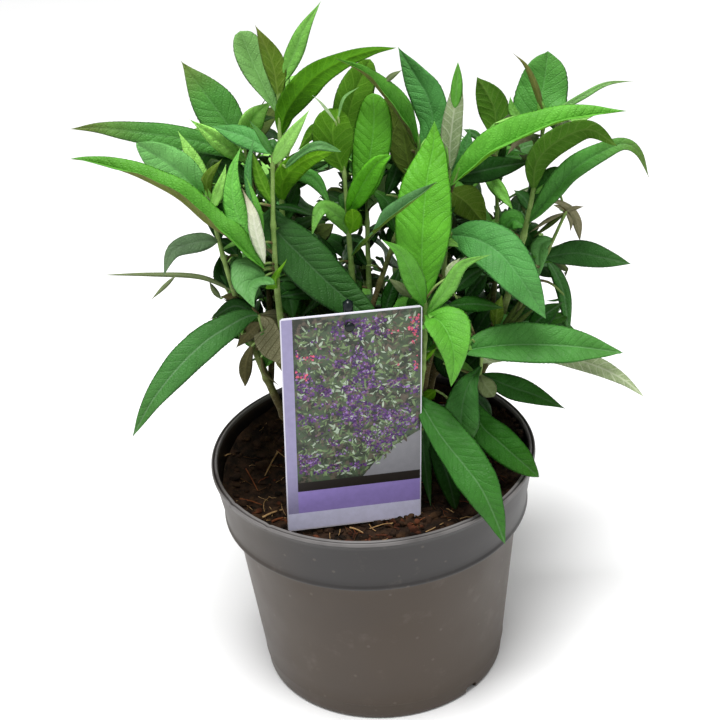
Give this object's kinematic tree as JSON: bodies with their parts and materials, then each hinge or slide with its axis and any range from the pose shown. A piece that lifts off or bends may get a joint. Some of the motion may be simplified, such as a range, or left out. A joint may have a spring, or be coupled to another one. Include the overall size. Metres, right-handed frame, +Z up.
{
  "type": "butterfly bush",
  "caption": "Young butterfly bush in a round nursery pot: leafy upright shoots from the soil, with a plant label pegged to a small stake.",
  "frame": {"origin": "centre of the pot's flat underside, on the surface that it stands on", "axes": "+Z up, -Y to the front, the side that the label faces, +X to the plant's right as seen from the front"},
  "size_m": [0.3085, 0.2269, 0.4114],
  "materials": {
    "pot_plastic": "matt injection-moulded taupe grey plastic, glossier on the rim",
    "compost": "moist dark brown potting compost with bark chips and fibres",
    "label_card": null,
    "stake_plastic": "shiny dark navy plastic",
    "bark": "green to brown young bark, felted grey near the tips",
    "leaf": "soft veined leaves, satin green above and grey felted below"
  },
  "bodies": {
    "root": {"pot": "pot_plastic", "soil": "compost", "label_card": "label_card", "label_stake": "stake_plastic", "stem_front_left": "bark", "stem_upper_left": "bark", "stem_left": "bark", "bough_back_left": "bark", "stem_centre": "bark", "bough_centre_back": "bark", "stem_front_right": "bark", "bough_centre_right": "bark", "bough_low_right": "bark", "stem_right": "bark", "bough_far_right": "bark", "bough_low_left": "bark", "bough_back_right": "bark", "stem_rear_left": "bark", "stem_rear": "bark", "stem_rear_right": "bark", "bough_rear_low_left": "bark", "bough_rear_low_right": "bark", "bough_rear_low": "bark", "foliage_front_left": "leaf", "foliage_upper_left": "leaf", "foliage_left": "leaf", "foliage_back_left": "leaf", "foliage_centre": "leaf", "foliage_centre_back": "leaf", "foliage_front_right": "leaf", "foliage_centre_right": "leaf", "foliage_low_right": "leaf", "foliage_right": "leaf", "foliage_far_right": "leaf", "foliage_low_left": "leaf", "foliage_back_right": "leaf", "foliage_rear_left": "leaf", "foliage_rear": "leaf", "foliage_rear_right": "leaf", "foliage_rear_low_left": "leaf", "foliage_rear_low_right": "leaf", "foliage_rear_low": "leaf"}
  },
  "joints": []
}
